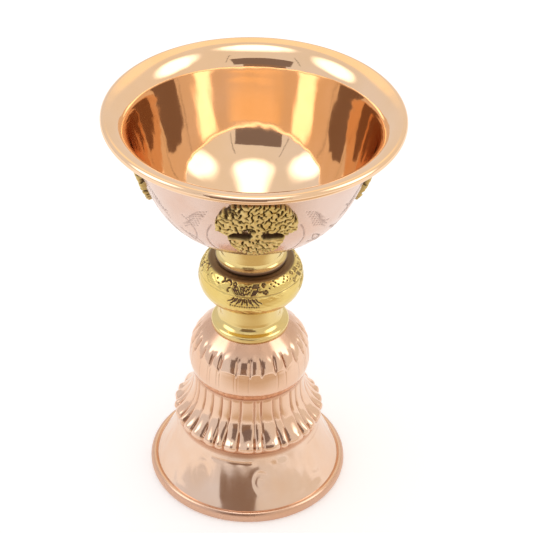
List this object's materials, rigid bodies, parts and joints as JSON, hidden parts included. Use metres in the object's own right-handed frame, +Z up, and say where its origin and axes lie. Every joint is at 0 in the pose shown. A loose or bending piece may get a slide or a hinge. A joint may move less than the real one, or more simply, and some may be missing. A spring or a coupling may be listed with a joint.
{
  "type": "footed butter lamp",
  "caption": "Footed butter lamp: flared copper bowl with brass tree medallions, brass stem with an oval knob, and a tiered copper foot with a rolled edge.",
  "frame": {"origin": "centre of the foot's rolled edge on the surface that the lamp stands on", "axes": "+Z up along the lamp's axis; -Y towards the front medallion"},
  "size_m": [0.0802, 0.0802, 0.12],
  "materials": {
    "bowl_copper": "polished copper sheet, mirror-bright inside and softly brushed with engraved lines outside",
    "wire_copper": "drawn copper wire, hidden inside a rolled edge",
    "cast_brass": "cast brass, dark in the recesses and bright on the raised branches",
    "turned_brass": "turned and polished yellow brass",
    "chased_brass": "chased yellow brass, dark in the grooves",
    "plain_steel": "plain machined steel",
    "foot_copper": "polished copper sheet with chased flutes and petals"
  },
  "bodies": {
    "base": {"lower_collar": "turned_brass", "stem_stud": "plain_steel", "base_washer": "plain_steel", "base_nut": "plain_steel", "fluted_bulb": "foot_copper", "lotus_skirt": "foot_copper", "bell_foot": "foot_copper", "foot_wire": "wire_copper"},
    "bead": {"knob": "chased_brass"},
    "bowl_unit": {"bowl": "bowl_copper", "rim_wire": "wire_copper", "tree_medallion_front": "cast_brass", "tree_medallion_right": "cast_brass", "tree_medallion_back": "cast_brass", "tree_medallion_left": "cast_brass", "wick_tube": "turned_brass", "upper_collar": "turned_brass", "retaining_ring": "turned_brass"}
  },
  "joints": [
    {"name": "bowl_rise", "type": "slide", "parent": "base", "child": "bead", "axis": [0, 0, 1], "range_m": [0, 0.007]},
    {"name": "bowl_turn", "type": "hinge", "parent": "bead", "child": "bowl_unit", "pos_m": [0, 0, 0.068], "axis": [0, 0, 1], "range_deg": [0, 2520]}
  ],
  "couplings": [
    {"joint": "bowl_rise", "follows": "bowl_turn", "m_per_rad": 0.00015915}
  ]
}
